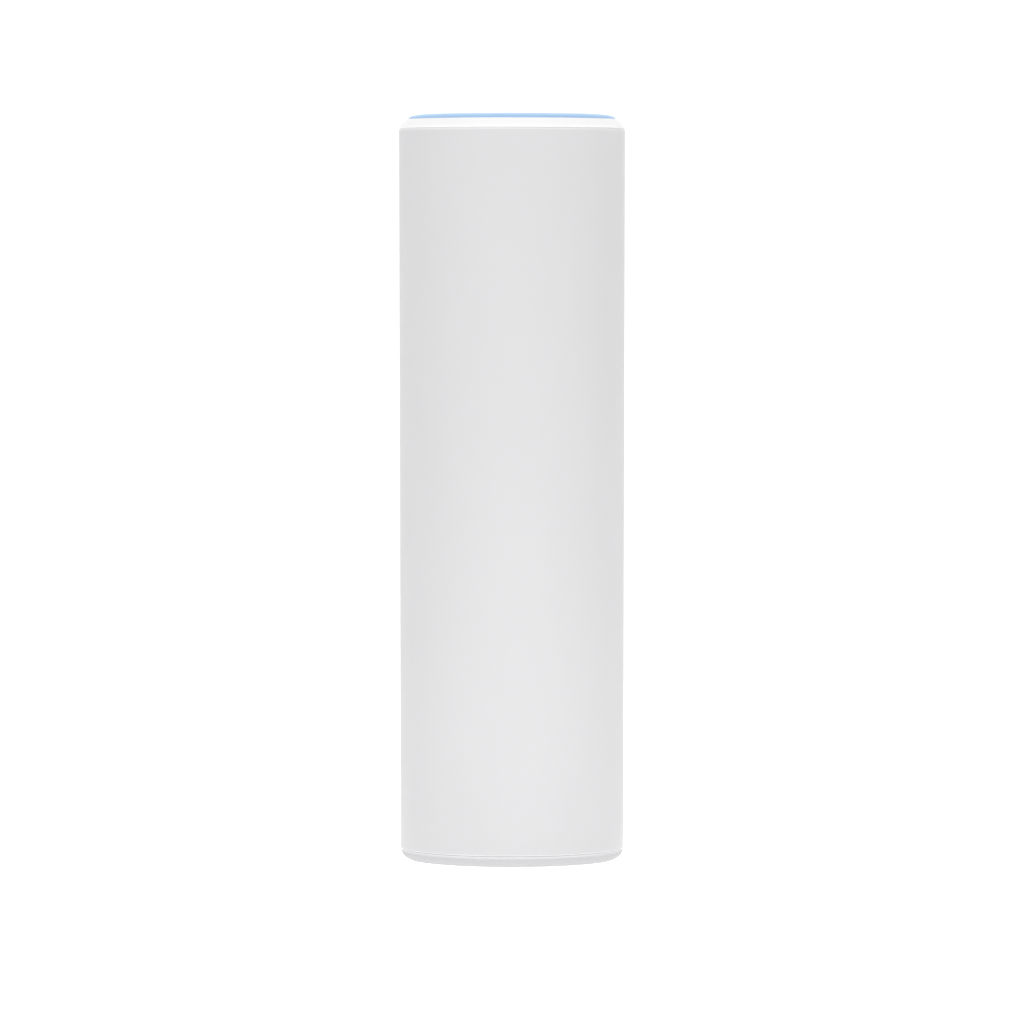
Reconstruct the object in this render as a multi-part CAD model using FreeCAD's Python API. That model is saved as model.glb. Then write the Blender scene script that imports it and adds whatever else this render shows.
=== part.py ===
"""Mesh Wi-Fi node: a slim white can that stands on a pull-off base, with a light ring round its top.

The can is a drafted tube. A bezel with the light ring, its baffle and its LED board snaps into the top.
An aluminium spine inside carries the main board, and an antenna carrier stands on the spine. A port plate
closes the tube above an open cable bay, with the network jack and the reset button facing down into it.
A cable leaves the bay through a rubber grommet at the rear, and the base closes the bay from below.

Frame: millimetres, +Z up, origin on the standing surface under the can's axis, front towards -Y.
"""

import FreeCAD, Part
import math
import os
from FreeCAD import Vector

# Driving sizes
HEIGHT = 158.0
CAN_TOP_R = 23.95
CAN_FOOT_R = 23.6
BORE_R = 21.8
SLIP = 0.08             # radial gap of a part that plugs into the bore
TOUCH = 0.02            # gap between a seal and its groove

# Heights, from the standing surface up
COVER_Z = 0.06          # underside of the base cover
COVER_RIM_Z = 1.95      # top of the base cover's visible band
FLOOR_Z = 2.2           # upper face of the base cover's floor
RIB_TOP_Z = 3.6
NECK_Z = 2.42           # top of the narrow step between the base's band and the can
CAN_Z0 = 2.5            # lower edge of the can
SKIRT_TOP_Z = 11.0
PLATE_Z0 = 38.0
PLATE_Z1 = 41.0
SPINE_Z0 = 60.0
SPINE_Z1 = 120.0
CARRIER_Z1 = 146.0
LED_BOARD_Z = 149.2
BAFFLE_Z = 150.4
LEDGE_Z0 = 155.0
LEDGE_Z1 = 155.7
CAN_Z1 = HEIGHT - 3.1   # top edge of the can, under the bezel
SHOULDER_Z = HEIGHT - 0.86
RING_EDGE_Z = HEIGHT - 0.92
DISC_Z0 = 156.5
DISC_Z1 = 157.3
SNAP_Z = 150.2          # bead of the bezel that snaps into the can
BASE_SEAL_Z = (6.6, 8.0)
PLATE_SEAL_Z = (39.3, 40.5)
BEZEL_SEAL_Z = (152.0, 153.3)

# Radii
COVER_R = 23.48
NECK_R = 23.32
GROOVE_R = 23.0         # bottom of the fine gap between neck and can
SKIRT_R = BORE_R - SLIP
SKIRT_IN_R = 20.5
SEAL_IN_R = 21.0        # bottom of the seals' grooves
FOOT_OUT_R = 20.7
FOOT_IN_R = 14.8
BEZEL_R = 23.8
RING_OUT_R = 21.92
RING_CREST_R = 17.8
RING_IN_R = 17.05
DISC_R = 16.95
DISC_EDGE = 0.2         # flat edge round the dished top disc
DISH_DEPTH = 0.3
CARRIER_R = 20.6
SPINE_R = 20.7

# Boards, chips and shields: x is width, y depth from the axis, z height
BOARD_Y = (2.0, 3.6)
BOARD_X = 17.5
BOARD_Z = (41.6, 119.0)
BOARD_HOLES = [(x, z) for x in (-14.8, 14.8) for z in (66.0, 114.0)]
SHIELD_Y = (0.6, 2.0)
SHIELD_X = 12.0
SHIELD_WALL = 0.2
SHIELD_SPANS = {
    "radio_shield_low": (66.0, 82.5),
    "cpu_shield": (84.0, 108.0),
    "radio_shield_high": (109.5, 118.5),
}
REAR_Y = BOARD_Y[1]     # components on the rear of the board start here

# Transformer for the power from the network cable
COIL_X = -7.5
COIL_Z = 86.0
COIL_WINDOWS = (COIL_Z - 4.2, COIL_Z + 4.2)

# Network jack, facing down
JACK_X = 8.0
JACK_Y = (-11.4, 2.0)
JACK_Z = (37.6, 59.0)
JACK_WALL = 0.25
PLUG_X = 5.95
PLUG_Y = (-8.6, -1.8)
PLUG_DEPTH = 14.0
CONTACT_PITCH = 1.02

# Reset button and its switch
BUTTON_XY = (12.6, 0.25)
BUTTON_R = 1.5
BUTTON_FLANGE_R = 2.3
BUTTON_TRAVEL = 0.5

# Screws
THREE_WAYS = (-90.0, 30.0, 150.0)
SHELL_SCREW_R = 18.8    # circle of the screws that hold the port plate in the can
STACK_SCREW_R = 11.5    # circle of the screws that clamp the top
LEG_XY = [(-12.0, -10.0), (12.0, -10.0)]
CARRIER_SCREW_XY = [(-9.0, -8.0), (9.0, -8.0)]

# Cable exit
CABLE_Z = 7.8           # height of the cable's axis
CABLE_HOLE_R = 3.0
EXIT_HALF_WIDTH = 4.4
EXIT_TOP_Z = 12.2
EXIT_FLANGE = 0.8       # how far the grommet's flanges reach past the slot

# Mounting screw holes in the base cover
MOUNT_SPACING = 24.0
MOUNT_HOLE_R = 2.1

# Light and antennas
LED_COUNT = 12
LED_CIRCLE_R = 18.7
ANTENNA_Y = 16.4        # distance of the antenna boards' inner face from the axis
ANTENNA_THICK = 0.8
ANTENNA_HALF_WIDTH = 8.0
ANTENNA_Z = (124.0, 144.0)
FEED_Z = 133.5          # height of the antennas' feed pads
TRACK = 0.7             # width of the antennas' copper
ANTENNA_TURNS = {"antenna_front": 0.0, "antenna_right": 90.0, "antenna_rear": 180.0, "antenna_left": 270.0}
STAKE_PLACES = [(-6.3, 125.3), (6.3, 125.3), (-6.3, 142.7), (6.3, 142.7)]
LEAD_R = 0.565
LEAD_PLUG_Z = 112.0
RIBBON_HALF_WIDTH = 2.5
RIBBON_THICK = 0.25


# Shape helpers

def box(x, y, z):
    """Block between two x, two y and two z values."""
    size = [pair[1] - pair[0] for pair in (x, y, z)]
    return Part.makeBox(*size, Vector(x[0], y[0], z[0]))


def rod(radius, z0, z1, x=0.0, y=0.0):
    """Upright cylinder."""
    return Part.makeCylinder(radius, z1 - z0, Vector(x, y, z0))


def rod_y(radius, y0, y1, x, z):
    """Cylinder that lies along Y."""
    return Part.makeCylinder(radius, y1 - y0, Vector(x, y0, z), Vector(0, 1, 0))


def ring(outer, inner, z0, z1):
    return rod(outer, z0, z1).cut(rod(inner, z0 - 1, z1 + 1))


def polar(radius, degrees):
    turn = math.radians(degrees)
    return radius * math.cos(turn), radius * math.sin(turn)


def turned(shape, degrees):
    copy = shape.copy()
    copy.rotate(Vector(0, 0, 0), Vector(0, 0, 1), degrees)
    return copy


def around(shape, count):
    """Copies of a shape evenly spaced about the axis."""
    return [turned(shape, 360.0 * i / count) for i in range(count)]


def fused(shapes):
    shapes = list(shapes)
    return shapes[0].multiFuse(shapes[1:]).removeSplitter()


def less(shape, *cutters):
    return shape.cut(cutters)


def outline(corners):
    """Closed face in the XZ plane. A corner is (r, z), or (r, z, rounding) for a rounded one."""
    points = [Vector(c[0], 0, c[1]) for c in corners]
    radii = [c[2] if len(c) > 2 else 0.0 for c in corners]
    stops = []
    for i, point in enumerate(points):
        before = (points[i - 1] - point).normalize()
        after = (points[(i + 1) % len(points)] - point).normalize()
        if radii[i] == 0.0:
            stops.append((point, None, point))
            continue
        half = before.getAngle(after) / 2
        middle = (before + after).normalize()
        reach = radii[i] / math.tan(half)
        crown = point + middle * (radii[i] / math.sin(half) - radii[i])
        stops.append((point + before * reach, crown, point + after * reach))
    edges = []
    for i, (start, crown, end) in enumerate(stops):
        if crown is not None:
            edges.append(Part.Arc(start, crown, end).toShape())
        edges.append(Part.LineSegment(end, stops[(i + 1) % len(stops)][0]).toShape())
    return Part.Face(Part.Wire(edges))


def lathed(face):
    return face.revolve(Vector(0, 0, 0), Vector(0, 0, 1), 360)


def bent_path(points, bend):
    """Wire of straight runs joined by tangent arcs of radius bend."""
    edges = []
    here = points[0]
    for before, corner, after in zip(points, points[1:], points[2:]):
        back = (before - corner).normalize()
        on = (after - corner).normalize()
        half = back.getAngle(on) / 2
        reach = bend / math.tan(half)
        crown = corner + (back + on).normalize() * (bend / math.sin(half) - bend)
        edges.append(Part.LineSegment(here, corner + back * reach).toShape())
        edges.append(Part.Arc(corner + back * reach, crown, corner + on * reach).toShape())
        here = corner + on * reach
    edges.append(Part.LineSegment(here, points[-1]).toShape())
    return Part.Wire(edges)


def tube(points, radius, bend):
    """Solid round lead along a bent path."""
    path = bent_path(points, bend)
    section = Part.Wire(Part.makeCircle(radius, points[0], points[1] - points[0]))
    return path.makePipeShell([section], True, False)


def screw(head_r, head_h, shank_r, length):
    """Pan-head screw on the Z axis: the head's top at z = 0, pointing up the shank towards +Z."""
    head = rod(head_r, 0, head_h)
    head = head.makeFillet(0.3, [e for e in head.Edges if e.BoundBox.ZMax < 0.01])
    cross = [box((-0.3, 0.3), (-head_r * 0.55, head_r * 0.55), (-0.1, head_h * 0.55))]
    cross.append(turned(cross[0], 90))
    tip = Part.makeCone(shank_r, shank_r * 0.3, shank_r, Vector(0, 0, length - shank_r))
    return less(fused([head, rod(shank_r, head_h, length - shank_r), tip]), *cross)


def placed(shape, x, y, z):
    copy = shape.copy()
    copy.translate(Vector(x, y, z))
    return copy


# The can and what closes its ends

def exit_slot(half_width, top_z):
    """Upright slot with a round top, open downwards, for the cable exit at the rear."""
    rear = (15, 30)
    body = box((-half_width, half_width), rear, (CAN_Z0 - 1, top_z - half_width))
    return body.fuse(rod_y(half_width, *rear, 0, top_z - half_width))


def outer_shell():
    wall = lathed(outline([
        (BORE_R, CAN_Z0), (CAN_FOOT_R - 0.08, CAN_Z0), (CAN_FOOT_R, CAN_Z0 + 0.08),
        (CAN_TOP_R, CAN_Z1, 0.15), (BORE_R, CAN_Z1),
    ]))
    snap_groove = ring(BORE_R + 0.25, BORE_R - 1, SNAP_Z - 0.6, SNAP_Z + 0.6)
    bosses, holes = [], []
    for degrees in THREE_WAYS:
        boss = rod(2.2, PLATE_Z1, 50.0, SHELL_SCREW_R)
        web = box((SHELL_SCREW_R, BORE_R + 0.5), (-1.4, 1.4), (PLATE_Z1, 50.0))
        bosses.append(turned(boss.fuse(web), degrees))
        holes.append(turned(rod(1.05, PLATE_Z1 - 1, 48.5, SHELL_SCREW_R), degrees))
    return less(fused([wall] + bosses), snap_groove, exit_slot(EXIT_HALF_WIDTH, EXIT_TOP_Z), *holes)


def top_bezel():
    return lathed(outline([
        (SKIRT_IN_R, 148.5), (SKIRT_R, 148.5, 0.3), (SKIRT_R, SNAP_Z - 0.45), (21.98, SNAP_Z, 0.15),
        (SKIRT_R, SNAP_Z + 0.45), (SKIRT_R, BEZEL_SEAL_Z[0]), (SEAL_IN_R, BEZEL_SEAL_Z[0]),
        (SEAL_IN_R, BEZEL_SEAL_Z[1]), (SKIRT_R, BEZEL_SEAL_Z[1]), (SKIRT_R, CAN_Z1),
        (BEZEL_R, CAN_Z1, 0.15), (BEZEL_R, 155.45, 0.6), (22.02, SHOULDER_Z, 0.12), (22.02, LEDGE_Z1),
        (19.75, LEDGE_Z1), (19.75, LEDGE_Z0), (SKIRT_IN_R, LEDGE_Z0),
    ]))


def seal_ring(outer, span):
    """Rubber ring that fills a groove of the bore's plug-in parts over a height span."""
    return ring(outer, SEAL_IN_R + TOUCH, span[0] + TOUCH, span[1] - TOUCH)


def bezel_gasket():
    return seal_ring(BORE_R - TOUCH, BEZEL_SEAL_Z)


def light_ring():
    """Diffuser: an elliptical crown outside, a round inner lip, and a leg that reaches down to the LEDs."""
    centre = Vector(RING_CREST_R, 0, RING_EDGE_Z)
    edge, crest = Vector(RING_OUT_R, 0, RING_EDGE_Z), Vector(RING_CREST_R, 0, HEIGHT)
    crown = Part.ArcOfEllipse(Part.Ellipse(edge, crest, centre), 0, math.pi / 2)
    lip = RING_CREST_R - RING_IN_R
    lip_end = Vector(RING_IN_R, 0, HEIGHT - lip)
    diagonal = lip * math.sqrt(0.5)
    lip_middle = Vector(RING_CREST_R - diagonal, 0, HEIGHT - lip + diagonal)
    corners = [
        (RING_IN_R, DISC_Z0), (15.6, DISC_Z0), (15.6, 155.9), (RING_CREST_R, 155.9),
        (RING_CREST_R, 153.2), (19.6, 153.2), (19.6, LEDGE_Z1), (RING_OUT_R, LEDGE_Z1),
    ]
    points = [lip_end] + [Vector(r, 0, z) for r, z in corners] + [edge]
    edges = [crown.toShape(), Part.Arc(crest, lip_middle, lip_end).toShape()]
    edges += [Part.LineSegment(a, b).toShape() for a, b in zip(points, points[1:])]
    return lathed(Part.Face(Part.Wire(Part.__sortEdges__(edges))))


def top_disc():
    """Dished centre cap, with three screw bosses and a ring that centres it in the light ring."""
    bowl_r = (DISC_R - DISC_EDGE) ** 2 / (2 * DISH_DEPTH) + DISH_DEPTH / 2
    dish = rod(DISC_R, DISC_Z0, DISC_Z1)
    dish = dish.cut(Part.makeSphere(bowl_r, Vector(0, 0, DISC_Z1 - DISH_DEPTH + bowl_r)))
    rim = [e for e in dish.Edges if e.BoundBox.ZMin > DISC_Z1 - 0.01 and e.BoundBox.XMax > DISC_R - 0.01]
    dish = dish.makeChamfer(DISC_EDGE / 2, rim)
    parts, holes = [dish, ring(15.5, 14.3, 155.2, DISC_Z0)], []
    for degrees in THREE_WAYS:
        x, y = polar(STACK_SCREW_R, degrees)
        parts.append(rod(2.2, 151.4, DISC_Z0, x, y))
        holes.append(rod(1.0, 151.0, 156.0, x, y))
    return less(fused(parts), *holes)


def light_baffle():
    """White trough that keeps the LEDs' light under the ring and clamps the bezel's ledge from below."""
    trough = lathed(outline([
        (8.5, BAFFLE_Z), (20.4, BAFFLE_Z), (20.4, LEDGE_Z0), (19.75, LEDGE_Z0), (19.75, 151.4),
        (17.7, 151.4), (17.7, 155.8), (17.0, 155.8), (17.0, 151.4), (8.5, 151.4),
    ]))
    windows = around(rod(1.45, BAFFLE_Z - 1, 151.4, LED_CIRCLE_R), LED_COUNT)
    holes = [rod(1.15, BAFFLE_Z - 1, 152, *polar(STACK_SCREW_R, d)) for d in THREE_WAYS]
    return less(trough, *windows, *holes)


def led_board():
    holes = [rod(1.15, LED_BOARD_Z - 1, BAFFLE_Z + 1, *polar(STACK_SCREW_R, d)) for d in THREE_WAYS]
    return less(ring(20.3, 8.5, LED_BOARD_Z, BAFFLE_Z), *holes)


def leds():
    lamp = box((LED_CIRCLE_R - 0.8, LED_CIRCLE_R + 0.8), (-1.0, 1.0), (BAFFLE_Z, BAFFLE_Z + 0.7))
    return Part.makeCompound(around(lamp, LED_COUNT))


def stack_screws():
    one = screw(2.0, 1.3, 0.95, 7.4)
    return Part.makeCompound([placed(one, *polar(STACK_SCREW_R, d), LED_BOARD_Z - 1.3) for d in THREE_WAYS])


# Antennas

def facing(shape, degrees):
    """A shape drawn at the front of the can, turned to face another side."""
    return turned(shape, degrees)


def antenna_carrier():
    floor = rod(CARRIER_R, SPINE_Z1, 122.5)
    flats = box((-ANTENNA_Y, ANTENNA_Y), (-ANTENNA_Y, ANTENNA_Y), (122.5, CARRIER_Z1))
    wall = less(rod(CARRIER_R, 122.5, CARRIER_Z1).common(flats), rod(14.5, 122, CARRIER_Z1 + 1))
    stakes = [
        facing(rod_y(0.7, -ANTENNA_Y - 1.2, -ANTENNA_Y + 0.5, x, z), d)
        for x, z in STAKE_PLACES for d in ANTENNA_TURNS.values()
    ]
    window = box((-4.0, 4.0), (-25, 25), (126.0, 140.0))
    cable_slot = box((-10.0, 10.0), (4.5, 12.0), (SPINE_Z1 - 1, 123.5))
    holes = [rod(1.0, SPINE_Z1 - 1, 123.5, x, y) for x, y in CARRIER_SCREW_XY]
    return less(fused([floor, wall] + stakes), window, turned(window, 90), cable_slot, *holes)


def carrier_screws():
    one = screw(1.8, 1.2, 0.8, 9.5)
    one.rotate(Vector(0, 0, 0), Vector(1, 0, 0), 180)
    return Part.makeCompound([placed(one, x, y, 122.5 + 1.2) for x, y in CARRIER_SCREW_XY])


def antenna(degrees):
    depth = (-ANTENNA_Y - ANTENNA_THICK, -ANTENNA_Y)
    board = box((-ANTENNA_HALF_WIDTH, ANTENNA_HALF_WIDTH), depth, ANTENNA_Z)
    holes = [rod_y(0.75, -25, -10, x, z) for x, z in STAKE_PLACES]
    return facing(less(board, *holes), degrees)


def antenna_traces():
    """Copper of the four antennas: on each board, two arms wind up and down from a feed pad in the middle."""
    y = (-ANTENNA_Y - ANTENNA_THICK - 0.1, -ANTENNA_Y - ANTENNA_THICK)
    strips = [box((-0.8, 0.8), y, (FEED_Z - 0.8, FEED_Z + 0.8))]
    # Upper arm as x and height spans from the feed; the lower arm is the same, turned half round
    arm = [
        (-TRACK / 2, TRACK / 2, 0, 2.0),
        (-4.2, TRACK / 2, 2.0 - TRACK, 2.0),
        (-4.2, -4.2 + TRACK, 2.0 - TRACK, 3.9),
        (-4.2, 4.2, 3.9 - TRACK, 3.9),
        (4.2 - TRACK, 4.2, 3.9 - TRACK, 5.8),
        (-4.2, 4.2, 5.8 - TRACK, 5.8),
    ]
    for x0, x1, z0, z1 in arm:
        strips.append(box((x0, x1), y, (FEED_Z + z0, FEED_Z + z1)))
        strips.append(box((-x1, -x0), y, (FEED_Z - z1, FEED_Z - z0)))
    pattern = fused(strips)
    return Part.makeCompound([facing(pattern, d) for d in ANTENNA_TURNS.values()])


# Each lead runs from its antenna's inner face, down the carrier's slot, to a plug on the rear of the board.
LEAD_DROP = [(7.5, 119.5), (4.35, 116.5)]
LEAD_ROUTES = {
    "antenna_lead_front": (-5, [(0, -ANTENNA_Y, 133), (0, -11.5, 133), (-5, 7.5, 125)]),
    "antenna_lead_right": (8, [(ANTENNA_Y, 0, 133), (11.5, 0, 133), (8, 7.5, 126)]),
    "antenna_lead_rear": (5, [(3.3, ANTENNA_Y, 133), (3.3, 12.2, 133), (5, 7.5, 126)]),
    "antenna_lead_left": (-8, [(-ANTENNA_Y, 0, 133), (-11.5, 0, 133), (-8, 7.5, 126)]),
}


def antenna_lead(x, start):
    points = [Vector(*p) for p in start]
    points += [Vector(x, y, z) for y, z in LEAD_DROP]
    points.append(Vector(x, LEAD_DROP[-1][0], LEAD_PLUG_Z + 1.3))
    return tube(points, LEAD_R, 1.2)


def lead_plugs():
    plugs = []
    for x, _ in LEAD_ROUTES.values():
        cap = rod_y(1.3, REAR_Y, REAR_Y + 1.2, x, LEAD_PLUG_Z)
        plugs.append(cap.fuse(rod_y(0.8, REAR_Y + 1.2, REAR_Y + 1.45, x, LEAD_PLUG_Z)))
    return Part.makeCompound(plugs)


# The spine and the main board

def heat_sink():
    """Aluminium spine of D section: fins to the front, pads for the board at the rear, and two legs."""
    block = rod(SPINE_R, SPINE_Z0, SPINE_Z1).common(box((-25, 25), (-25, 0), (SPINE_Z0, SPINE_Z1)))
    fin_z = (SPINE_Z0 + 4, SPINE_Z1 - 4)
    slots = [box((x - 1.1, x + 1.1), (-25, -5), fin_z) for x in range(-16, 17, 4)]
    pads = [rod_y(2.4, -0.5, BOARD_Y[0], x, z) for x, z in BOARD_HOLES]
    legs = [box((x - 2.3, x + 2.3), (y - 3, y + 3), (PLATE_Z1, SPINE_Z0 + 1)) for x, y in LEG_XY]
    tapped = [rod_y(0.85, -4, 3, x, z) for x, z in BOARD_HOLES]
    tapped += [rod(0.85, PLATE_Z1 - 1, 49, x, y) for x, y in LEG_XY]
    tapped += [rod(0.85, 112, SPINE_Z1 + 1, x, y) for x, y in CARRIER_SCREW_XY]
    return less(fused([less(block, *slots)] + pads + legs), *tapped)


def main_board():
    board = box((-BOARD_X, BOARD_X), BOARD_Y, BOARD_Z)
    board = board.makeFillet(1.0, [e for e in board.Edges if abs(e.BoundBox.YLength - 1.6) < 0.01])
    return less(board, *[rod_y(1.1, 0, 5, x, z) for x, z in BOARD_HOLES])


def board_screws():
    one = screw(1.9, 1.2, 0.8, 6.4)
    one.rotate(Vector(0, 0, 0), Vector(1, 0, 0), 90)
    return Part.makeCompound([placed(one, x, REAR_Y + 1.2, z) for x, z in BOARD_HOLES])


def shield(span):
    """Pressed-steel can over a part of the board, open towards it."""
    outside = box((-SHIELD_X, SHIELD_X), SHIELD_Y, span)
    x = (-SHIELD_X + SHIELD_WALL, SHIELD_X - SHIELD_WALL)
    z = (span[0] + SHIELD_WALL, span[1] - SHIELD_WALL)
    inside = box(x, (SHIELD_Y[0] + SHIELD_WALL, SHIELD_Y[1]), z)
    return outside.cut(inside)


def thermal_pads():
    x = (-SHIELD_X + 1, SHIELD_X - 1)
    spans = [(low + 1, high - 1) for low, high in SHIELD_SPANS.values()]
    return Part.makeCompound([box(x, (0, SHIELD_Y[0]), span) for span in spans])


def about(centre, size):
    return (centre - size / 2, centre + size / 2)


def chip(x, z, width, height, thick=0.9):
    """Flat package on the front of the board, centred at x, z."""
    return box(about(x, width), (BOARD_Y[0] - thick, BOARD_Y[0]), about(z, height))


def processor():
    return chip(-3.5, 96.0, 14.0, 14.0, 1.0)


def memory_chips():
    return Part.makeCompound([chip(8.0, 101.5, 6.0, 9.0), chip(8.0, 90.0, 6.0, 8.0)])


def radio_chips():
    return Part.makeCompound([chip(0.0, 114.0, 7.0, 7.0), chip(0.0, 74.0, 9.0, 9.0)])


def rear_block(x, z, width, height, thick, edge):
    """Moulded component on the rear of the board, with its outer edges rounded."""
    body = box(about(x, width), (REAR_Y, REAR_Y + thick), about(z, height))
    outer = [e for e in body.Edges if e.BoundBox.YMin > REAR_Y + 0.01]
    return body.makeFillet(edge, outer)


def ethernet_magnetics():
    return rear_block(0.0, 69.0, 15.0, 11.0, 5.6, 0.4)


def power_transformer():
    """Ferrite core, with two windows for the winding, for the power that comes over the network cable."""
    core = rear_block(COIL_X, COIL_Z, 13.0, 13.0, 8.6, 0.3)
    windows = [box((-20, 5), (REAR_Y + 2.2, REAR_Y + 6.4), about(z, 4.0)) for z in COIL_WINDOWS]
    return less(core, *windows)


def power_winding():
    halves = [box(about(COIL_X, 11.8), (REAR_Y + 2.3, REAR_Y + 6.3), about(z, 3.8)) for z in COIL_WINDOWS]
    return Part.makeCompound([half.makeFillet(0.6, half.Edges) for half in halves])


def capacitors():
    cans = []
    for x, z in [(5.5, 81.0), (12.6, 81.0), (9.0, 88.6)]:
        can = rod_y(3.1, REAR_Y + 0.6, REAR_Y + 7.7, x, z)
        can = can.makeFillet(0.4, [e for e in can.Edges if e.BoundBox.YMin > REAR_Y + 7])
        cans.append(can.fuse(box((x - 3.2, x + 3.2), (REAR_Y, REAR_Y + 0.6), (z - 3.2, z + 3.2))))
    return Part.makeCompound(cans)


def power_inductors():
    return Part.makeCompound([rear_block(x, 98.5, 6.0, 6.0, 3.4, 0.5) for x in (-8.0, 0.0, 8.0)])


def ribbon_sockets():
    low = box((-3.5, 3.5), (REAR_Y, REAR_Y + 1.4), (113.0, 116.8))
    high = box((-3.5, 3.5), (10.6, 14.2), (LED_BOARD_Z - 1.3, LED_BOARD_Z))
    return Part.makeCompound([low, high])


def ribbon_cable():
    """Flat flexible lead from the main board up to the LED board."""
    route = [(4.3, 116.85), (4.3, 118.6), (10.4, 126.0), (10.4, 143.5), (12.4, 147.85)]
    path = bent_path([Vector(0, y, z) for y, z in route], 1.5)
    start_y, start_z = route[0]
    thick, wide = RIBBON_THICK / 2, RIBBON_HALF_WIDTH
    corners = [(-wide, -thick), (wide, -thick), (wide, thick), (-wide, thick)]
    points = [Vector(x, start_y + y, start_z) for x, y in corners]
    return path.makePipeShell([Part.makePolygon(points + points[:1])], True, False)


# The port plate with its jack and reset button

def port_plate():
    plate = rod(SKIRT_R, PLATE_Z0, PLATE_Z1)
    groove = ring(SKIRT_R + 1, SEAL_IN_R, *PLATE_SEAL_Z)
    through = (PLATE_Z0 - 1, PLATE_Z1 + 1)
    jack_hole = box(about(0, 2 * JACK_X + 0.4), (JACK_Y[0] - 0.2, JACK_Y[1] + 0.2), through)
    cuts = [groove, jack_hole, rod(BUTTON_R + 0.1, 37, 42, *BUTTON_XY)]
    cuts.append(rod(BUTTON_FLANGE_R + 0.1, 39.5, 42, *BUTTON_XY))
    for x, y in [polar(SHELL_SCREW_R, d) for d in THREE_WAYS] + LEG_XY:
        cuts += [rod(1.2, 37, 42, x, y), rod(2.0, 37, PLATE_Z0 + 1.3, x, y)]
    return less(plate, *cuts)


def plate_gasket():
    return seal_ring(BORE_R - TOUCH, PLATE_SEAL_Z)


def shell_screws():
    one = screw(1.85, 1.2, 1.0, 9.5)
    return Part.makeCompound([placed(one, *polar(SHELL_SCREW_R, d), PLATE_Z0 + 0.1) for d in THREE_WAYS])


def spine_screws():
    one = screw(1.85, 1.2, 0.8, 9.5)
    return Part.makeCompound([placed(one, x, y, PLATE_Z0 + 0.1) for x, y in LEG_XY])


def jack_shell():
    outside = box((-JACK_X, JACK_X), JACK_Y, JACK_Z)
    inside = box(
        (-JACK_X + JACK_WALL, JACK_X - JACK_WALL),
        (JACK_Y[0] + JACK_WALL, JACK_Y[1] - JACK_WALL),
        (JACK_Z[0] - 1, JACK_Z[1] - JACK_WALL),
    )
    return outside.cut(inside)


def jack_light_places():
    """The two light pipes sit beside the latch slot, at the corners of the jack's face."""
    return [((x0, x1), (-0.6, 1.2)) for x0, x1 in ((-6.9, -4.1), (4.1, 6.9))]


def jack_insert():
    gap = JACK_WALL + 0.03
    z = (JACK_Z[0] + 0.3, JACK_Z[1] - gap)
    body = box(about(0, 2 * (JACK_X - gap)), (JACK_Y[0] + gap, JACK_Y[1] - gap), z)
    depth = (JACK_Z[0] - 1, JACK_Z[0] + PLUG_DEPTH)
    plug = box((-PLUG_X, PLUG_X), PLUG_Y, depth)
    latch = box((-3.1, 3.1), (PLUG_Y[1] - 0.5, 0.2), depth)
    latch_tip = box((-1.9, 1.9), (0, 0.9), depth)
    lights = [box(x, y, (JACK_Z[0] - 1, 55.0)) for x, y in jack_light_places()]
    return less(body, plug, latch, latch_tip, *lights)


def jack_contacts():
    """Eight sprung wires, slanting from the back of the plug space towards its mouth."""
    wires = []
    root, tip, thick = (PLUG_Y[0], 51.0), (PLUG_Y[0] + 1.9, 42.5), 0.3
    corners = [root, (root[0] + thick, root[1]), (tip[0] + thick, tip[1]), tip]
    for i in range(8):
        x = (i - 3.5) * CONTACT_PITCH - 0.17
        points = [Vector(x, y, z) for y, z in corners]
        wires.append(Part.Face(Part.makePolygon(points + points[:1])).extrude(Vector(0.34, 0, 0)))
    return Part.makeCompound(wires)


def jack_lights():
    return Part.makeCompound([
        box((x[0] + 0.03, x[1] - 0.03), (y[0] + 0.03, y[1] - 0.03), (JACK_Z[0] + 0.2, 54.9))
        for x, y in jack_light_places()
    ])


def reset_switch():
    body = box((BUTTON_XY[0] - 3, BUTTON_XY[0] + 3), (-1.5, BOARD_Y[0]), (42.2, 45.7))
    return body.cut(rod(1.1, 42, 43.6, *BUTTON_XY))


def switch_stem():
    return rod(1.0, 41.25, 42.7, *BUTTON_XY)


def reset_button():
    face = rod(BUTTON_R, PLATE_Z0 - 0.3, 39.5, *BUTTON_XY)
    face = face.makeFillet(0.3, [e for e in face.Edges if e.BoundBox.ZMax < PLATE_Z0])
    return fused([face, rod(BUTTON_FLANGE_R, 39.5, 40.2, *BUTTON_XY), rod(1.2, 40.2, 41.2, *BUTTON_XY)])


def cable_grommet():
    """Rubber plug for the slot at the rear: it grips the wall on both sides and lets one cable through."""
    def layer(reach, outer, inner):
        slot = exit_slot(EXIT_HALF_WIDTH + reach, EXIT_TOP_Z + reach)
        return slot.common(ring(outer, inner, CAN_Z0 + TOUCH, 20))

    core = layer(-TOUCH, CAN_TOP_R - 0.06, 20.9)
    inner_flange = layer(EXIT_FLANGE, BORE_R - TOUCH, 20.9)
    outer_flange = layer(EXIT_FLANGE, CAN_TOP_R - 0.06, CAN_FOOT_R + 0.05)
    return less(fused([core, inner_flange, outer_flange]), rod_y(CABLE_HOLE_R, 15, 30, 0, CABLE_Z))


# The base

def grommet_gap():
    """Space that the base leaves open at the rear for the grommet and the cable."""
    half = EXIT_HALF_WIDTH + EXIT_FLANGE + 0.2
    return box((-half, half), (15, 30), (0, 20))


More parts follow.
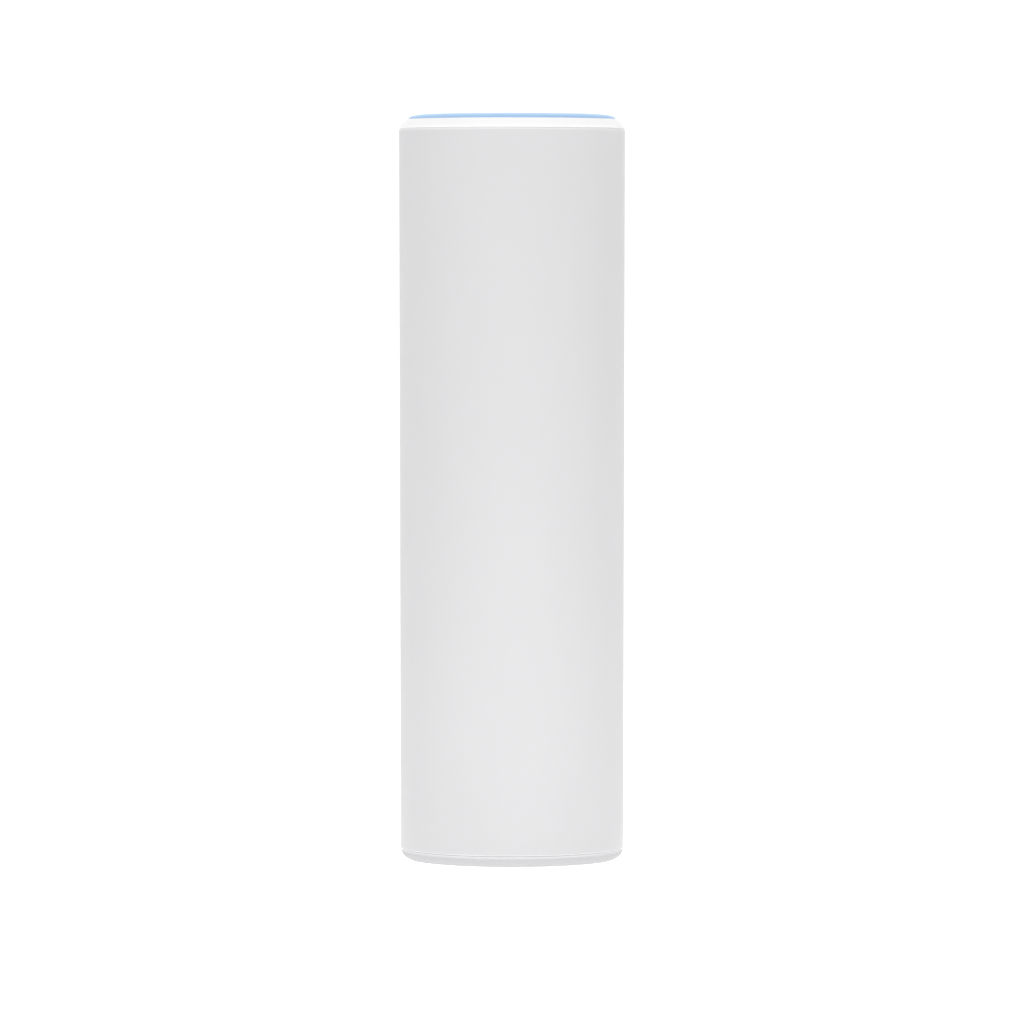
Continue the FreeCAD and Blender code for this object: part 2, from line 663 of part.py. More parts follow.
def base_skirt():
    """Collar that plugs into the can, with the seal's groove, open at the rear."""
    return lathed(outline([
        (SKIRT_IN_R, CAN_Z0), (SKIRT_R, CAN_Z0), (SKIRT_R, BASE_SEAL_Z[0]), (SEAL_IN_R, BASE_SEAL_Z[0]),
        (SEAL_IN_R, BASE_SEAL_Z[1]), (SKIRT_R, BASE_SEAL_Z[1]), (SKIRT_R, SKIRT_TOP_Z, 0.4),
        (SKIRT_IN_R, SKIRT_TOP_Z, 0.2),
    ])).cut(grommet_gap())


def base_cover():
    """Dished cover: a sloping band, a narrow neck under the can's edge, a skirt, ribs and screw holes."""
    edge = 0.12     # bevel along the upper edges of band and neck
    shell = lathed(outline([
        (0, COVER_Z), (FOOT_IN_R, COVER_Z), (FOOT_IN_R, 1.0), (FOOT_OUT_R, 1.0), (FOOT_OUT_R, COVER_Z),
        (21.7, COVER_Z, 0.1), (23.12, 0.88, 1.5), (COVER_R, COVER_RIM_Z - edge),
        (COVER_R - edge, COVER_RIM_Z), (NECK_R, COVER_RIM_Z), (NECK_R, NECK_Z - edge),
        (NECK_R - edge, NECK_Z), (GROOVE_R, NECK_Z), (GROOVE_R, CAN_Z0), (SKIRT_IN_R, CAN_Z0),
        (SKIRT_IN_R, FLOOR_Z), (0, FLOOR_Z),
    ]))
    rib_z = (FLOOR_Z - 0.1, RIB_TOP_Z)
    rib = box((4.0, SKIRT_IN_R + 0.2), (-0.5, 0.5), rib_z)
    ribs = [turned(rib, degrees) for degrees in range(0, 360, 45) if degrees != 90]
    hub = ring(4.5, 3.5, *rib_z)
    screw_xy = [(-MOUNT_SPACING / 2, 0), (MOUNT_SPACING / 2, 0)]
    bosses = [rod(4.6, *rib_z, x, y) for x, y in screw_xy]
    cuts = [rod(MOUNT_HOLE_R, 0, 4, x, y) for x, y in screw_xy]
    cuts += [rod(4.0, FLOOR_Z, 4, x, y) for x, y in screw_xy]
    cuts += [turned(rod(1.0, 0, 4, 11.0), degrees) for degrees in (67.5, 112.5, 247.5, 292.5)]
    return less(fused([shell, base_skirt(), hub] + ribs + bosses), *cuts)


def base_seal():
    """Rubber ring in the skirt's groove that grips the can. It is open where the cable leaves."""
    return seal_ring(BORE_R - 0.04, BASE_SEAL_Z).cut(grommet_gap())


def foot_ring():
    inner, outer = FOOT_IN_R + TOUCH, FOOT_OUT_R - TOUCH
    return lathed(outline([(inner, 0, 0.2), (outer, 0, 0.2), (outer, 1.0), (inner, 1.0)]))


def all_nodes():
    """Node name to shape, for the whole object."""
    makers = [
        outer_shell, top_bezel, bezel_gasket, light_ring, top_disc, light_baffle, led_board, leds,
        stack_screws, antenna_carrier, carrier_screws, antenna_traces, lead_plugs, heat_sink, thermal_pads, main_board,
        board_screws, processor, memory_chips, radio_chips, ethernet_magnetics, power_transformer,
        power_winding, capacitors, power_inductors, ribbon_sockets, ribbon_cable, port_plate, plate_gasket,
        shell_screws, spine_screws, jack_shell, jack_insert, jack_contacts, jack_lights, reset_switch,
        switch_stem, reset_button, cable_grommet, base_cover, base_seal, foot_ring,
    ]
    nodes = {make.__name__: make() for make in makers}
    nodes.update({name: antenna(degrees) for name, degrees in ANTENNA_TURNS.items()})
    nodes.update({name: antenna_lead(*route) for name, route in LEAD_ROUTES.items()})
    nodes.update({name: shield(span) for name, span in SHIELD_SPANS.items()})
    return nodes


def main():
    os.makedirs("parts", exist_ok=True)
    for name, shape in all_nodes().items():
        assert shape.isValid() and shape.Solids, name
        shape.exportStep(f"parts/{name}.step")
        print(f"{name}: {len(shape.Solids)} solid(s), {shape.Volume:.1f} mm3")


main()
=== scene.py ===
"""Looks of a mesh wifi node: a slim white can on a pull-off base, with a pale-blue light ring on top."""
import math
import random

import bmesh
import bpy
from mathutils import Matrix, Vector
from mathutils.bvhtree import BVHTree


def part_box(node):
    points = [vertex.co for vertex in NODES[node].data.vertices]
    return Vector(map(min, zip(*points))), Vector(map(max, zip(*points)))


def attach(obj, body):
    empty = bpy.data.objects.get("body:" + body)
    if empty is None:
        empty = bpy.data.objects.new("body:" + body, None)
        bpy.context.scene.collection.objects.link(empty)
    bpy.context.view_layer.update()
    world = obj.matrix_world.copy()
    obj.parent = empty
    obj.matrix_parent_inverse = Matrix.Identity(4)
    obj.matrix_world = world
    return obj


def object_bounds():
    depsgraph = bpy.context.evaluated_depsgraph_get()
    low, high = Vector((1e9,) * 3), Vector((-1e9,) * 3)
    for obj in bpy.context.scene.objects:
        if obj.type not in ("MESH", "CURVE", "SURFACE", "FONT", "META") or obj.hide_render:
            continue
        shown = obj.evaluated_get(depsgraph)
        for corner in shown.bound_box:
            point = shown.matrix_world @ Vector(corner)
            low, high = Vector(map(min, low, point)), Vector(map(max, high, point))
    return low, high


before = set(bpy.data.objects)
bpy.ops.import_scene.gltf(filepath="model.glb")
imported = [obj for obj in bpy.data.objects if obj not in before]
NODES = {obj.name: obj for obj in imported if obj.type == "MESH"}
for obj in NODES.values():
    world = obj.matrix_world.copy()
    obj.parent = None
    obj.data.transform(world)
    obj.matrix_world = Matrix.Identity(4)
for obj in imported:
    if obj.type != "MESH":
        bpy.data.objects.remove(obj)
cad_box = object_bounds()

MM = 0.001
LOW, HIGH = cad_box

# Lighter lines in the colour of the plastic, which stand in for the highlights along the edges.
# Each is its middle height and its reach in millimetres, and how many times lighter it is.
CAN_PAINTED_HIGHLIGHTS = ((2.44, 0.18, 1.45), (154.6, 0.16, 1.1), (154.9, 0.16, 1.3))
BASE_PAINTED_HIGHLIGHTS = ((2.16, 0.33, 1.36),)

# Small parts on the board: how many places are tried, the seed, and the room that each part keeps free.
# The reach and the half of a resistor or capacitor are shares of its length. Its lengths and the path of
# the legs are in millimetres.
CHIP_TRIES = 60
ROW_TRIES = 90
SEED = 11
CHIP_REACH = 2.6 * MM
PASSIVE_REACH = 0.58
PASSIVE_HALF = 0.38
PASSIVE_LENGTHS = (1.0, 1.6)
CHIP_SIZE = (2.4 * MM, 3.0 * MM, 0.8 * MM)
CHIP_MIDDLE = 0.55 * MM
LEG_PITCH = 0.75 * MM
LEG_PATH = ((1.1, 0.55), (1.42, 0.55), (1.6, 0.16), (2.0, 0.07))

# Studio: the floor lies just under the travel of the pulled base. A round pool of light surrounds the object,
# less bright right under it, a bright panel fans out in front, and the surroundings dim towards the sides.
# All of these glow, and shape the soft shading of the can.
FLOOR_DROP = 8.6 * MM
FLOOR_HALF = 5.0
FLOOR_GLOW = 0.30
WALL_TOP = 0.45           # hides the far horizon from a low eye
POOL_RADIUS = 0.13
POOL_GLOW = 0.75
SPOT_RADIUS = 0.045
SPOT_GLOW = 0.60
PANEL_SPREAD = 37.0
PANEL_NEAR = 0.05
PANEL_FAR = 0.70
PANEL_GLOW = 1.05
SURROUND = ((0.25, 1.0), (1.0, 0.84))
POOL_SIDES = 96
FLOOR_WHITE = (0.80, 0.82)
WORLD_STRENGTH = 1.02
FRONT_WATTS = 0.3
TOP_WATTS = 7.0

# Camera: a long lens 1.5 m in front of the object, a little above its middle, looking slightly down
EYE = (0.0, -1.50, 0.128)
AIM = (0.0, 0.0, 0.0737)
LENS = 248.7
SENSOR = 36.0
FAR_CLIP = 50.0
SHIFT = 0.00025           # a small lift of the frame


# Node graphs

class Graph:
    """A material's node tree, with short calls to add and join its nodes."""

    def __init__(self, name):
        self.material = bpy.data.materials.new(name)
        self.material.use_nodes = True
        self.tree = self.material.node_tree
        self.shader = self.tree.nodes["Principled BSDF"]
        self.place = self.add("ShaderNodeTexCoord").outputs["Object"]

    def add(self, kind, **values):
        node = self.tree.nodes.new(kind)
        for key, value in values.items():
            setattr(node, key, value)
        return node

    def join(self, source, target):
        self.tree.links.new(source, target)

    def set(self, **values):
        for key, value in values.items():
            self.shader.inputs[key.replace("_", " ")].default_value = value

    def noise(self, size_mm, detail=2.0, rough=0.5, stretch=(1, 1, 1)):
        """Noise from 0 to 1 with blotches about size_mm across."""
        scale = self.add("ShaderNodeMapping")
        scale.inputs["Scale"].default_value = [s / (size_mm * MM) for s in stretch]
        self.join(self.place, scale.inputs["Vector"])
        noise = self.add("ShaderNodeTexNoise")
        noise.inputs["Scale"].default_value = 1.0
        noise.inputs["Detail"].default_value = detail
        noise.inputs["Roughness"].default_value = rough
        self.join(scale.outputs["Vector"], noise.inputs["Vector"])
        return noise.outputs["Fac"]

    def cells(self, size_mm, feature="F1"):
        """Distance to the nearest cell centre, 0 to about 1, for cells about size_mm across."""
        cells = self.add("ShaderNodeTexVoronoi", feature=feature)
        cells.inputs["Scale"].default_value = 1.0 / (size_mm * MM)
        self.join(self.place, cells.inputs["Vector"])
        return cells.outputs["Distance"]

    def ramp(self, value, stops):
        """Maps a value to colours or greys. A stop is (position, colour) or (position, grey)."""
        ramp = self.add("ShaderNodeValToRGB")
        elements = ramp.color_ramp.elements
        while len(elements) < len(stops):
            elements.new(0.5)
        for element, (position, colour) in zip(elements, stops):
            element.position = position
            element.color = (*colour, 1) if isinstance(colour, tuple) else (colour, colour, colour, 1)
        self.join(value, ramp.inputs["Fac"])
        return ramp.outputs["Color"]

    def mix(self, factor, a, b, blend="MIX"):
        mix = self.add("ShaderNodeMix", data_type="RGBA", blend_type=blend)
        for socket, value in ((mix.inputs[0], factor), (mix.inputs[6], a), (mix.inputs[7], b)):
            if hasattr(value, "is_linked"):
                self.join(value, socket)
            else:
                socket.default_value = value if socket.type == "VALUE" else (*value, 1)
        return mix.outputs[2]

    def math(self, operation, a, b):
        node = self.add("ShaderNodeMath", operation=operation)
        for socket, value in zip(node.inputs, (a, b)):
            if hasattr(value, "is_linked"):
                self.join(value, socket)
            else:
                socket.default_value = value
        return node.outputs[0]

    def height_z(self):
        """Height above the standing surface, in metres."""
        split = self.add("ShaderNodeSeparateXYZ")
        self.join(self.place, split.inputs[0])
        return split.outputs["Z"]

    def near_height(self, z_mm, reach_mm):
        """1 within reach of a height above the standing surface, else 0."""
        band = self.add("ShaderNodeMath", operation="COMPARE")
        self.join(self.height_z(), band.inputs[0])
        band.inputs[1].default_value = z_mm * MM
        band.inputs[2].default_value = reach_mm * MM
        return band.outputs[0]

    def edges(self, low, high):
        """0 on flat faces, rising to 1 on sharp outer edges."""
        pointiness = self.add("ShaderNodeNewGeometry").outputs["Pointiness"]
        return self.ramp(pointiness, [(low, 0.0), (high, 1.0)])

    def bump(self, layers):
        """Stacks bumps. A layer is (height, depth in mm, strength)."""
        normal = None
        for height, depth_mm, strength in layers:
            bump = self.add("ShaderNodeBump")
            bump.inputs["Distance"].default_value = depth_mm * MM
            bump.inputs["Strength"].default_value = strength
            self.join(height, bump.inputs["Height"])
            if normal is not None:
                self.join(normal, bump.inputs["Normal"])
            normal = bump.outputs["Normal"]
        self.join(normal, self.shader.inputs["Normal"])

    def colour(self, socket):
        self.join(socket, self.shader.inputs["Base Color"])

    def roughness(self, value, low, high):
        self.join(self.ramp(value, [(0.3, low), (0.7, high)]), self.shader.inputs["Roughness"])


def shade(colour, factor):
    return tuple(min(1.0, c * factor) for c in colour)


# Materials

def moulded_plastic(name, colour, gloss=(0.40, 0.50), grain_mm=0.35, grain_depth=0.006, specular=0.35,
                    rims=()):
    """Injection-moulded plastic: fine grain, slow flow variation, paler sharp edges and any painted highlight
    lines.
    """
    g = Graph(name)
    flow = g.noise(28.0, 3.0, stretch=(1, 1, 0.35))
    tone = g.ramp(flow, [(0.25, shade(colour, 0.985)), (0.75, shade(colour, 1.012))])
    tone = g.mix(g.edges(0.52, 0.60), tone, shade(colour, 1.03))
    # Each lighter band at a given height is a painted highlight along an edge, not the plastic's own colour.
    for height, reach, gain in rims:
        tone = g.mix(g.near_height(height, reach), tone, shade(colour, gain))
    g.colour(tone)
    g.roughness(g.noise(6.0, 4.0), *gloss)
    g.set(Specular_IOR_Level=specular)
    g.bump([(g.noise(grain_mm, 3.0, 0.6), grain_depth, 0.6), (g.noise(14.0, 2.0), 0.02, 0.15)])
    return g.material


def diffuser():
    """Milky light ring: lit from behind, palest along its crest, and slightly uneven like any light guide."""
    g = Graph("light_diffuser")
    height = g.math("MULTIPLY", g.math("SUBTRACT", g.height_z(), HIGH.z - 1.2 * MM), 1 / (1.2 * MM))
    glow = g.ramp(height, [(0.0, (0.10, 0.20, 0.36)), (0.55, (0.12, 0.22, 0.38)), (1.0, (0.20, 0.31, 0.42))])
    patchy = g.ramp(g.noise(9.0, 2.0), [(0.3, 0.92), (0.7, 1.0)])
    g.colour(g.mix(g.noise(7.0, 2.0), (0.22, 0.32, 0.42), (0.25, 0.35, 0.44)))
    g.join(g.mix(1.0, glow, patchy, "MULTIPLY"), g.shader.inputs["Emission Color"])
    g.set(Emission_Strength=1.0, Specular_IOR_Level=0.3)
    g.roughness(g.noise(3.0, 3.0), 0.34, 0.42)
    g.bump([(g.noise(0.5, 2.0), 0.003, 0.5)])
    return g.material


def rubber(name, colour):
    g = Graph(name)
    dust = g.noise(1.6, 5.0, 0.6)
    g.colour(g.mix(dust, shade(colour, 0.9), shade(colour, 1.12)))
    g.roughness(dust, 0.68, 0.86)
    g.set(Specular_IOR_Level=0.25)
    g.bump([(g.noise(0.25, 3.0), 0.012, 0.6), (g.noise(3.0, 2.0), 0.03, 0.2)])
    return g.material


def drawn_metal(name, colour, gloss=(0.26, 0.42), stretch=(1, 1, 14), grain_mm=0.18):
    """Rolled, drawn or turned metal with fine lines along one direction and brighter edges."""
    g = Graph(name)
    lines = g.noise(grain_mm, 4.0, 0.6, [1 / s for s in stretch])
    tone = g.mix(lines, shade(colour, 0.90), shade(colour, 1.08))
    g.colour(g.mix(g.edges(0.52, 0.62), tone, shade(colour, 1.25)))
    g.roughness(g.noise(2.5, 4.0), *gloss)
    g.set(Metallic=1.0)
    g.bump([(lines, 0.004, 0.5)])
    return g.material


def solder_mask(name, colour, copper, track_mm=0.9):
    """Lacquered circuit board: copper areas and fine tracks show faintly, and stand a little proud."""
    g = Graph(name)
    turn = g.add("ShaderNodeMapping")
    turn.inputs["Rotation"].default_value = (math.pi / 2, 0, 0)
    g.join(g.place, turn.inputs["Vector"])
    tracks = g.add("ShaderNodeTexBrick", offset=0.37, squash=0.6, squash_frequency=3)
    tracks.inputs["Scale"].default_value = 1 / (4 * track_mm * MM)
    tracks.inputs["Mortar Size"].default_value = 0.035
    tracks.inputs["Mortar Smooth"].default_value = 0.2
    areas = g.add("ShaderNodeTexVoronoi", distance="CHEBYCHEV")
    areas.inputs["Scale"].default_value = 1 / (9 * MM)
    areas.inputs["Randomness"].default_value = 0.8
    for node in (tracks, areas):
        g.join(turn.outputs["Vector"], node.inputs["Vector"])
    tint = g.add("ShaderNodeSeparateColor")
    g.join(areas.outputs["Color"], tint.inputs["Color"])
    poured = g.ramp(tint.outputs["Red"], [(0.44, 0.0), (0.45, 1.0)])
    line = g.math("MULTIPLY", tracks.outputs["Fac"], g.math("SUBTRACT", 1.0, poured))
    weave = g.noise(0.5, 2.0)
    base = g.mix(weave, shade(colour, 0.92), shade(colour, 1.08))
    under = g.mix(0.5, colour, copper)
    g.colour(g.mix(line, g.mix(poured, base, under), copper))
    g.roughness(weave, 0.28, 0.38)
    g.bump([(line, 0.03, 0.5), (poured, 0.02, 0.5), (weave, 0.004, 0.5)])
    return g.material


def moulded_package(name, colour=(0.018, 0.018, 0.020)):
    """Black epoxy of a chip: dull, with a fine sandy grain."""
    g = Graph(name)
    sand = g.cells(0.12)
    g.colour(g.mix(g.noise(1.5, 4.0), shade(colour, 0.8), shade(colour, 1.5)))
    g.roughness(g.noise(0.8, 3.0), 0.55, 0.72)
    g.bump([(sand, 0.006, 0.6)])
    return g.material


def sintered(name, colour):
    g = Graph(name)
    pores = g.cells(0.3)
    g.colour(g.mix(g.noise(0.9, 5.0), shade(colour, 0.8), shade(colour, 1.25)))
    g.roughness(pores, 0.5, 0.8)
    g.bump([(pores, 0.02, 0.5)])
    return g.material


def phosphor():
    g = Graph("led_yellow")
    grains = g.cells(0.15)
    g.colour(g.mix(grains, (0.80, 0.68, 0.20), (0.92, 0.84, 0.46)))
    g.roughness(grains, 0.3, 0.5)
    g.join(g.mix(grains, (0.45, 0.62, 0.95), (0.60, 0.76, 1.0)), g.shader.inputs["Emission Color"])
    g.set(Emission_Strength=1.5)
    g.bump([(grains, 0.01, 0.4)])
    return g.material


def clear_pipe():
    g = Graph("light_pipe")
    haze = g.noise(0.8, 3.0)
    g.colour(g.mix(haze, (0.62, 0.74, 0.64), (0.72, 0.82, 0.74)))
    g.roughness(haze, 0.12, 0.24)
    g.set(Transmission_Weight=0.5, IOR=1.49)
    g.bump([(haze, 0.006, 0.4)])
    return g.material


def slot_materials():
    """Material slot of the record to its material."""
    plastic = moulded_plastic
    return {
        # Shell, bezel and base are one white plastic. The bezel's lighter colour is a painted highlight on
        # the upward-facing shoulder, and the base's darker colour is painted shade on its downward-facing
        # band.
        "shell_white": plastic("shell_white", (0.601, 0.595, 0.604), (0.34, 0.42), specular=0.14,
                               rims=CAN_PAINTED_HIGHLIGHTS),
        "bezel_white": plastic("bezel_white", (0.865, 0.860, 0.865), (0.30, 0.38), 0.5, 0.003),
        "light_diffuser": diffuser(),
        "baffle_white": plastic("baffle_white", (0.86, 0.86, 0.85), (0.55, 0.65)),
        "base_white": plastic("base_white", (0.515, 0.512, 0.521), (0.50, 0.60), specular=0.1,
                              rims=BASE_PAINTED_HIGHLIGHTS),
        "plate_grey": plastic("plate_grey", (0.48, 0.48, 0.50), (0.50, 0.62), 0.4, 0.010),
        "carrier_black": plastic("carrier_black", (0.020, 0.020, 0.022), (0.48, 0.60), 0.4, 0.012),
        "board_green": solder_mask("board_green", (0.010, 0.068, 0.028), (0.022, 0.125, 0.055)),
        "board_white": solder_mask("board_white", (0.78, 0.79, 0.78), (0.72, 0.74, 0.71), 0.6),
        "chip_black": moulded_package("chip_black"),
        "led_yellow": phosphor(),
        "copper": drawn_metal("copper", (0.85, 0.46, 0.28), (0.22, 0.34)),
        "contact_gold": drawn_metal("contact_gold", (0.92, 0.68, 0.28), (0.16, 0.26)),
        "tinned_steel": drawn_metal("tinned_steel", (0.66, 0.67, 0.68), (0.24, 0.38)),
        "screw_steel": drawn_metal("screw_steel", (0.56, 0.57, 0.60), (0.28, 0.42), (1, 1, 1), 0.3),
        "cast_aluminium": drawn_metal("cast_aluminium", (0.78, 0.79, 0.80), (0.34, 0.48), (1, 1, 30), 0.25),
        "pad_grey": rubber("pad_grey", (0.24, 0.28, 0.36)),
        "seal_rubber": rubber("seal_rubber", (0.030, 0.030, 0.032)),
        "grommet_rubber": rubber("grommet_rubber", (0.60, 0.60, 0.61)),
        "foot_rubber": rubber("foot_rubber", (0.50, 0.50, 0.51)),
        "ferrite": sintered("ferrite", (0.022, 0.022, 0.025)),
        "winding_tape": plastic("winding_tape", (0.72, 0.46, 0.04), (0.25, 0.40), 0.8, 0.02),
        "jack_black": plastic("jack_black", (0.012, 0.012, 0.014), (0.38, 0.52), 0.3, 0.008),
        "light_pipe": clear_pipe(),
        "button_grey": plastic("button_grey", (0.26, 0.26, 0.28), (0.42, 0.55), 0.3, 0.008),
        "lead_black": plastic("lead_black", (0.014, 0.014, 0.015), (0.40, 0.52), 0.5, 0.006),
        "ribbon_white": plastic("ribbon_white", (0.84, 0.84, 0.80), (0.30, 0.42), 0.6, 0.006),
        "socket_cream": plastic("socket_cream", (0.74, 0.66, 0.50), (0.42, 0.55), 0.4, 0.006),
    }


def dress_nodes(materials):
    """Every CAD node takes the finished material of its slot."""
    for node in NODES.values():
        for slot in node.material_slots:
            slot.material = materials[slot.material.name.split(".")[0]]


# Small parts soldered to the rear of the main board

class Pile:
    """One mesh gathered from many small bevelled blocks and bent strips."""

    def __init__(self):
        self.mesh = bmesh.new()

    def block(self, frame_at, centre, size, bevel):
        """A block of the given size, with bevelled edges, in a local frame."""
        made = bmesh.ops.create_cube(self.mesh, size=1.0, matrix=frame_at @ Matrix.Translation(centre)
                                     @ Matrix.Diagonal((*size, 1)))
        edges = list({edge for vert in made["verts"] for edge in vert.link_edges})
        bmesh.ops.bevel(self.mesh, geom=edges, offset=bevel, segments=2, profile=0.5, affect="EDGES")

    def strip(self, frame_at, path, width, thick):
        """A flat strip bent along a path of (x, z) points, its width along the local y axis."""
        rings = []
        for i, (x, z) in enumerate(path):
            before, after = Vector(path[max(i - 1, 0)]), Vector(path[min(i + 1, len(path) - 1)])
            along = (after - before).normalized()
            across = Vector((-along.y, along.x)) * thick / 2
            corners = [(x + across.x, -width / 2, z + across.y), (x + across.x, width / 2, z + across.y),
                       (x - across.x, width / 2, z - across.y), (x - across.x, -width / 2, z - across.y)]
            rings.append([self.mesh.verts.new(frame_at @ Vector(c)) for c in corners])
        for a, b in zip(rings, rings[1:]):
            for k in range(4):
                self.mesh.faces.new((a[k], a[(k + 1) % 4], b[(k + 1) % 4], b[k]))
        self.mesh.faces.new(rings[0][::-1])
        self.mesh.faces.new(rings[-1])

    def finish(self, name, slot, materials):
        """Turns the pile into a piece that rides on the can."""
        bmesh.ops.recalc_face_normals(self.mesh, faces=self.mesh.faces)
        mesh = bpy.data.meshes.new(name)
        self.mesh.to_mesh(mesh)
        self.mesh.free()
        piece = bpy.data.objects.new(name, mesh)
        mesh.materials.append(materials[slot])
        bpy.context.scene.collection.objects.link(piece)
        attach(piece, "can")


def mesh_tree(node):
    """Search tree over a CAD node's faces."""
    mesh = NODES[node].data
    return BVHTree.FromPolygons([v.co for v in mesh.vertices], [p.vertices for p in mesh.polygons])


def small_parts(materials):
    """Chip resistors, chip capacitors and small eight-leg chips in loose rows, clear of everything else."""
    low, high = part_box("main_board")
    others = [mesh_tree(node) for node in NODES if node != "main_board"]
    dice = random.Random(SEED)
    dark, tan, ends, bodies, legs = Pile(), Pile(), Pile(), Pile(), Pile()
    taken = []

    def clear(x, z, reach):
        """True if nothing stands within reach of this place on the board's rear face."""
        inside = low.x + reach < x < high.x - reach and low.z + reach < z < high.z - reach
        place = Vector((x, high.y + 0.4 * MM, z))
        free = all(tree.find_nearest(place, reach)[0] is None for tree in others)
        apart = all((Vector((x, z)) - Vector((tx, tz))).length > reach + r for tx, tz, r in taken)
        return inside and free and apart

    def board_frame(x, z, turned):
        """Local frame on the board: z out of the rear face, x along the part."""
        quarter = math.pi / 2
        facing = Matrix.Rotation(-quarter, 4, "X") @ Matrix.Rotation(quarter if turned else 0.0, 4, "Z")
        return Matrix.Translation((x, high.y, z)) @ facing

    def legged_chip(x, z):
        at = board_frame(x, z, dice.random() < 0.5)
        bodies.block(at, (0, 0, CHIP_MIDDLE), CHIP_SIZE, 0.08 * MM)
        for row in range(4):
            y = (row - 1.5) * LEG_PITCH
            for side in (-1, 1):
                path = [(side * px * MM, pz * MM) for px, pz in LEG_PATH]
                legs.strip(at @ Matrix.Translation((0, y, 0)), path, 0.32 * MM, 0.12 * MM)

    def passive(x, z, turned, length, body):
        """A chip resistor or capacitor: a body between two metal end caps."""
        at = board_frame(x, z, turned)
        width, tall = length / 2, length * 0.36
        body.block(at, (0, 0, tall / 2), (length * 0.62, width * 0.94, tall * 0.94), 0.02 * MM)
        for side in (-1, 1):
            ends.block(at, (side * length * 0.39, 0, tall / 2), (length * 0.22, width, tall), 0.04 * MM)

    def spot():
        return dice.uniform(low.x, high.x), dice.uniform(low.z, high.z)

    for _ in range(CHIP_TRIES):
        x, z = spot()
        if clear(x, z, CHIP_REACH):
            legged_chip(x, z)
            taken.append((x, z, CHIP_REACH))
    for _ in range(ROW_TRIES):
        x, z = spot()
        turned, length = dice.random() < 0.5, dice.choice(PASSIVE_LENGTHS) * MM
        body = dice.choice((dark, tan))
        step = Vector((length, 0)) if turned else Vector((0, length))
        for i in range(dice.randint(2, 6)):
            px, pz = x + step.x * i, z + step.y * i
            if clear(px, pz, length * PASSIVE_REACH):
                passive(px, pz, turned, length, body)
                taken.append((px, pz, length * PASSIVE_HALF))
    dark.finish("resistor_bodies", "chip_black", materials)
    tan.finish("capacitor_bodies", "socket_cream", materials)
    ends.finish("part_ends", "tinned_steel", materials)
    bodies.finish("small_chip_bodies", "chip_black", materials)
    legs.finish("small_chip_legs", "tinned_steel", materials)


# Stage, light and camera

def lit_surface(name, strength):
    """White acrylic of a light table, glowing evenly from within."""
    low, high = FLOOR_WHITE
    g = Graph(name)
    cloud = g.noise(220.0, 3.0)
    g.colour(g.mix(cloud, (low,) * 3, (high,) * 3))
    g.roughness(g.noise(90.0, 2.0), 0.85, 0.95)
    g.set(Specular_IOR_Level=0.1, Emission_Strength=strength, Emission_Color=(1, 1, 1, 1))
    g.bump([(g.noise(4.0, 3.0), 0.01, 0.3)])
    return g.material


def stage_piece(name, points, faces, material):
    mesh = bpy.data.meshes.new(name)
    mesh.from_pydata(points, [], faces)
    piece = bpy.data.objects.new(name, mesh)
    piece.data.materials.append(material)
    bpy.context.scene.collection.objects.link(piece)


def stage():
    """Pale floor of a light table with a low wall far off, its pool of light and its brighter panel."""
    floor_z = LOW.z - FLOOR_DROP
    square = [(x * FLOOR_HALF, y * FLOOR_HALF) for x, y in ((-1, -1), (1, -1), (1, 1), (-1, 1))]
    white = lit_surface("floor_white", FLOOR_GLOW)
    stage_piece("floor", [(x, y, floor_z) for x, y in square], [(0, 1, 2, 3)], white)
    wall = [(x, y, z) for z in (floor_z, WALL_TOP) for x, y in square]
    stage_piece("backdrop", wall, [(i, i + 4, (i + 1) % 4 + 4, (i + 1) % 4) for i in range(4)], white)
    turn = 2 * math.pi / POOL_SIDES
    for name, radius, lift, glow in (("light_pool", POOL_RADIUS, 0.1 * MM, POOL_GLOW),
                                     ("light_spot", SPOT_RADIUS, 0.2 * MM, SPOT_GLOW)):
        rim = [(radius * math.cos(i * turn), radius * math.sin(i * turn), floor_z + lift)
               for i in range(POOL_SIDES)]
        stage_piece(name, rim, [tuple(range(POOL_SIDES))], lit_surface(name + "_white", glow))
    lean = math.tan(math.radians(PANEL_SPREAD))
    corners = [(side * reach * lean, -reach, floor_z + 0.3 * MM)
               for reach, side in ((PANEL_NEAR, -1), (PANEL_NEAR, 1), (PANEL_FAR, 1), (PANEL_FAR, -1))]
    stage_piece("light_panel", corners, [(0, 1, 2, 3)], lit_surface("panel_white", PANEL_GLOW))


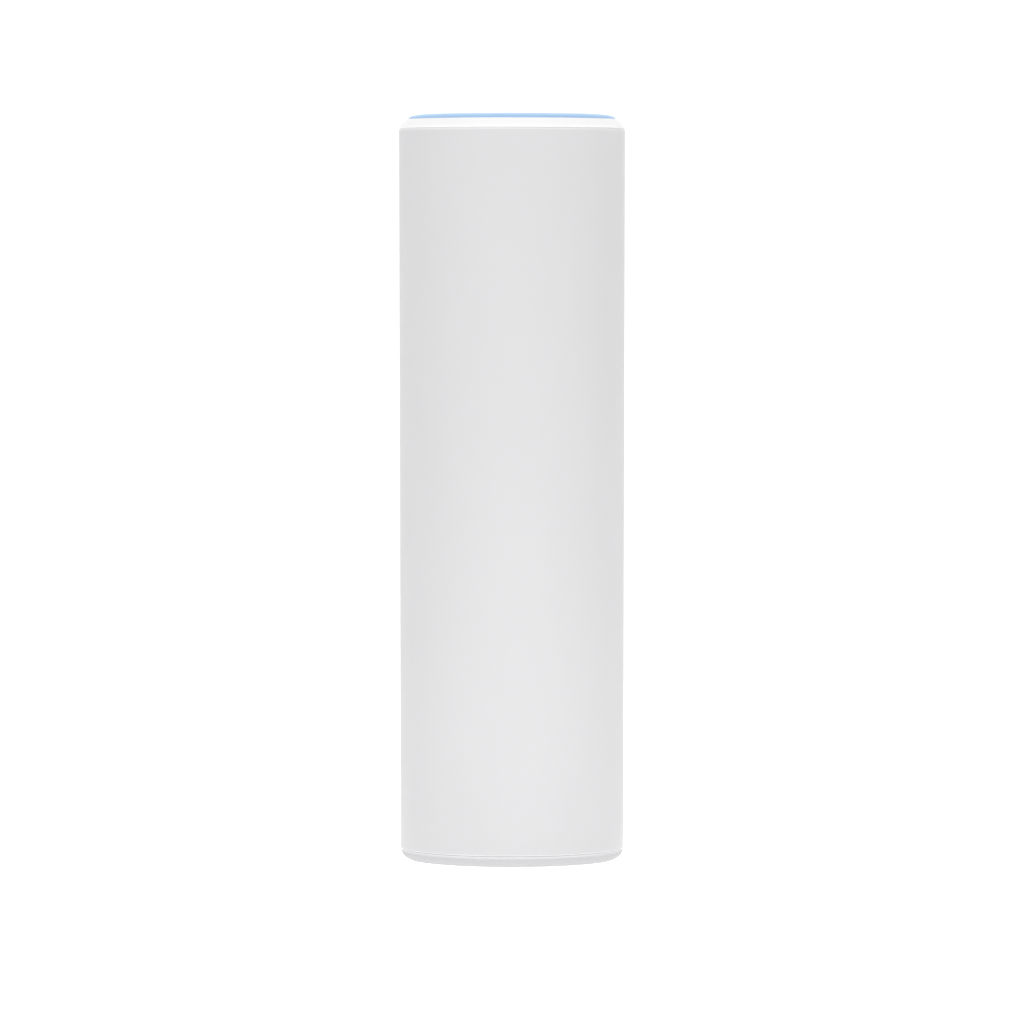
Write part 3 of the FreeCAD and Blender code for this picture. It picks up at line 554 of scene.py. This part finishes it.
def soft_light(name, place, aim, size, power, colour=(1, 1, 1)):
    light = bpy.data.lights.new(name, "AREA")
    light.shape = "RECTANGLE"
    light.size, light.size_y = size
    light.energy = power
    light.color = colour
    lamp = bpy.data.objects.new(name, light)
    lamp.location = place
    lamp.rotation_euler = (Vector(aim) - Vector(place)).to_track_quat("-Z", "Y").to_euler()
    bpy.context.scene.collection.objects.link(lamp)


def lighting():
    """Even pale surroundings, a little dimmer to the left and right, and two large soft lights."""
    world = bpy.data.worlds.new("studio")
    world.use_nodes = True
    tree = world.node_tree
    direction = tree.nodes.new("ShaderNodeTexCoord")
    split = tree.nodes.new("ShaderNodeSeparateXYZ")
    tree.links.new(direction.outputs["Generated"], split.inputs[0])
    sideways = tree.nodes.new("ShaderNodeMath")
    sideways.operation = "ABSOLUTE"
    tree.links.new(split.outputs["X"], sideways.inputs[0])
    ramp = tree.nodes.new("ShaderNodeValToRGB")
    for element, (position, grey) in zip(ramp.color_ramp.elements, SURROUND):
        element.position = position
        element.color = (grey, grey, grey, 1)
    tree.links.new(sideways.outputs[0], ramp.inputs["Fac"])
    tree.links.new(ramp.outputs["Color"], tree.nodes["Background"].inputs["Color"])
    tree.nodes["Background"].inputs["Strength"].default_value = WORLD_STRENGTH
    bpy.context.scene.world = world
    soft_light("front_fill", (0.0, -2.6, 1.2), (0, 0, 0.08), (1.6, 1.2), FRONT_WATTS)
    soft_light("top_fill", (0.0, -0.4, 2.6), (0, 0, 0), (2.5, 2.5), TOP_WATTS)
    bpy.context.scene.view_settings.view_transform = "Standard"


def camera():
    lens = bpy.data.cameras.new("camera")
    lens.sensor_width = SENSOR
    lens.lens = LENS
    lens.shift_y = SHIFT
    lens.clip_end = FAR_CLIP
    eye = bpy.data.objects.new("camera", lens)
    eye.location = EYE
    eye.rotation_euler = (Vector(AIM) - Vector(EYE)).to_track_quat("-Z", "Y").to_euler()
    bpy.context.scene.collection.objects.link(eye)
    bpy.context.scene.camera = eye


camera()
finishes = slot_materials()
dress_nodes(finishes)
small_parts(finishes)
stage()
lighting()
